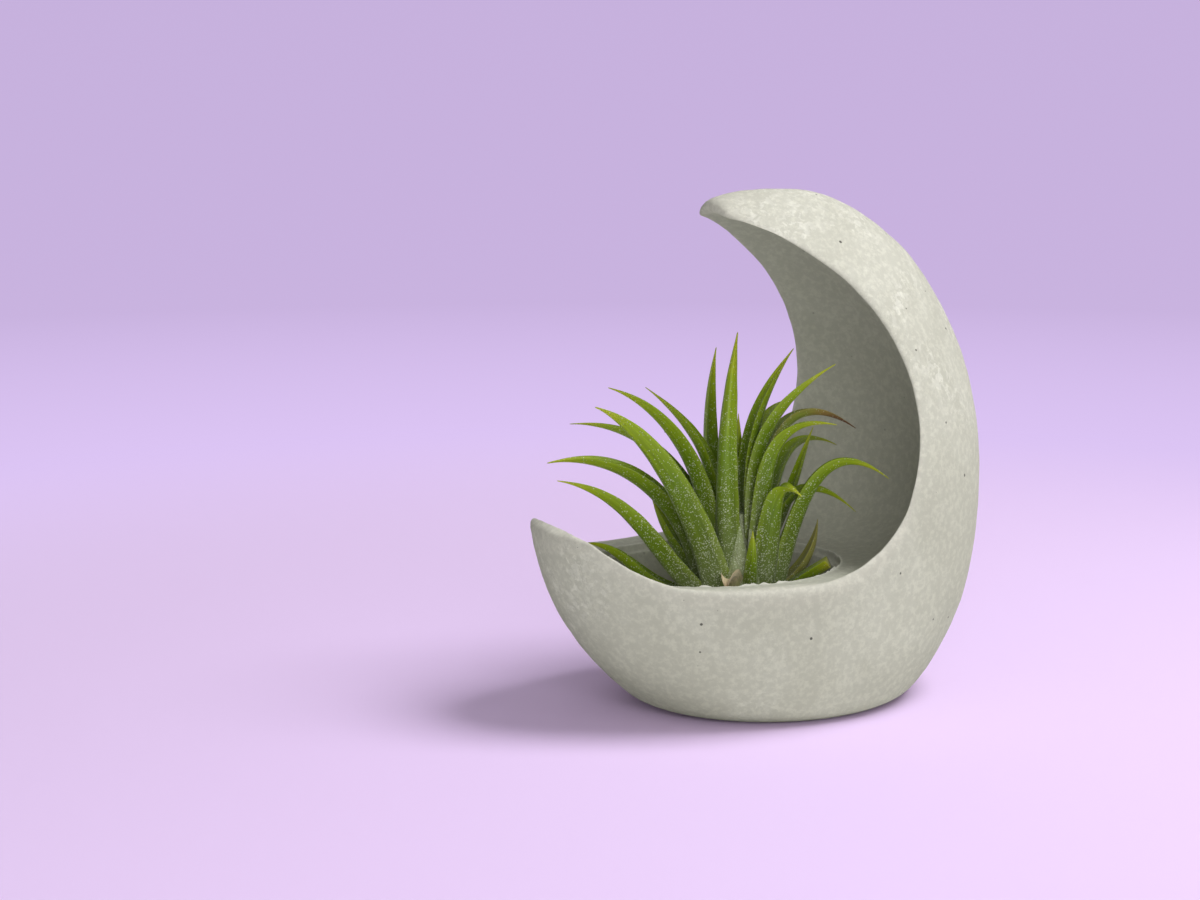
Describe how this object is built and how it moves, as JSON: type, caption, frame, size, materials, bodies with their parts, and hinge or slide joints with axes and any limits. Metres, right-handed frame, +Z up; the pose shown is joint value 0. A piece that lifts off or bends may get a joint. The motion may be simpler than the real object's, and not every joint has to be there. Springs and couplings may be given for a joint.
{
  "type": "air plant holder",
  "caption": "Crescent moon cast in concrete on a flat base, with an oval pocket in the bottom of its mouth that holds a loose air plant.",
  "frame": {"origin": "on the flat base, under the upright axis of the egg that the moon is cut from", "axes": "+Z up from the table, -X the way the mouth opens, -Y the front face"},
  "size_m": [0.1126, 0.07, 0.12],
  "materials": {
    "concrete": "fine cast concrete, matte, lightly mottled",
    "leaf": "green leaf with fine silvery scales",
    "leaf_base": "pale silvery green leaf bases",
    "olive_leaf": "olive young leaf",
    "old_leaf": "green leaf with a dry red-brown tip",
    "dried_leaf": "dry papery straw colour",
    "dry_root": "dry wiry root"
  },
  "bodies": {
    "holder": {"concrete_moon": "concrete"},
    "plant": {"cut_leaf_stub": "leaf", "dried_leaf": "dried_leaf", "leaf_front_broad": "leaf", "leaf_front_small": "leaf", "leaf_left_arching": "leaf", "leaf_left_broad": "leaf", "leaf_left_high": "leaf", "leaf_left_low": "leaf", "leaf_left_rear": "leaf", "leaf_left_sagging": "leaf", "leaf_olive": "olive_leaf", "leaf_rear_curled": "leaf", "leaf_rear_left_high": "leaf", "leaf_rear_left_short": "leaf", "leaf_rear_right_arching": "leaf", "leaf_rear_right_high": "leaf", "leaf_rear_right_low": "leaf", "leaf_rear_right_short": "leaf", "leaf_red_tipped": "old_leaf", "leaf_right_arching": "leaf", "leaf_right_high": "leaf", "leaf_right_mid": "leaf", "leaf_right_up": "leaf", "leaf_small_tip": "leaf", "leaf_upright_inner": "leaf", "leaf_upright_left": "leaf", "leaf_upright_tall": "leaf", "plant_core": "leaf_base", "root_tuft": "dry_root"}
  },
  "joints": [
    {"name": "plant_lift", "type": "slide", "parent": "holder", "child": "plant", "axis": [-0.7193, 0, 0.6947], "range_m": [0, 0.11]}
  ]
}
